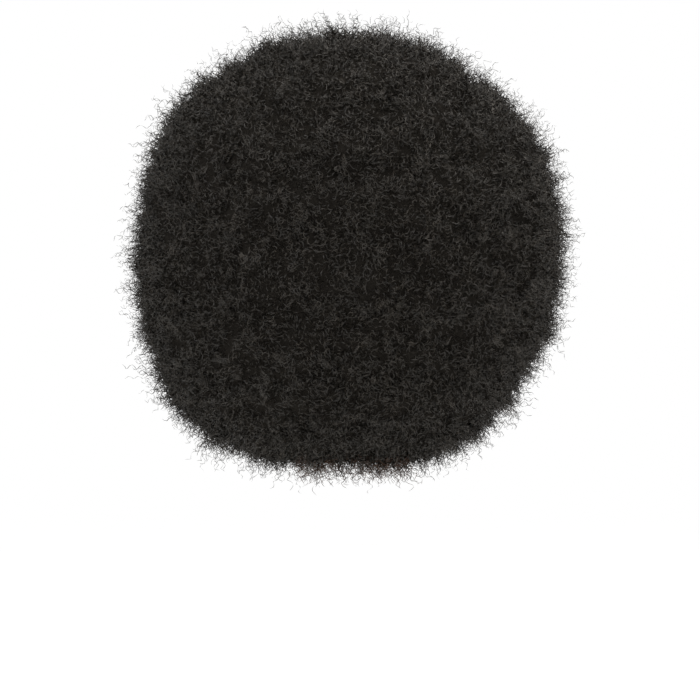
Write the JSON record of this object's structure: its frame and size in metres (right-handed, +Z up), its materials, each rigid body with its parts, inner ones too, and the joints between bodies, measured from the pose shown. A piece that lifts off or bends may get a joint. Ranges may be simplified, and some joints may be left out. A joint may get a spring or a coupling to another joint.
{
  "type": "afro wig",
  "caption": "Round afro wig of tight kinky curls sewn in rows on a hollow stretch cap with a bound edge, open for the face and neck.",
  "frame": {"origin": "the inside top of the cap, where it sits on the crown of the head", "axes": "+Z up, -Y the way the wearer faces, +X the wearer's left"},
  "size_m": [0.3686, 0.3376, 0.3724],
  "materials": {
    "cap_net": "black stretch net with sewn tracks",
    "elastic": "black ribbed elastic",
    "curly_hair": "soft black kinky fibre with a faint sheen"
  },
  "bodies": {
    "root": {"cap": "cap_net", "edge_band": "elastic", "weft_1_hem": "curly_hair", "weft_2": "curly_hair", "weft_3": "curly_hair", "weft_4": "curly_hair", "weft_5": "curly_hair", "weft_6": "curly_hair", "crown_hair": "curly_hair"}
  },
  "joints": []
}
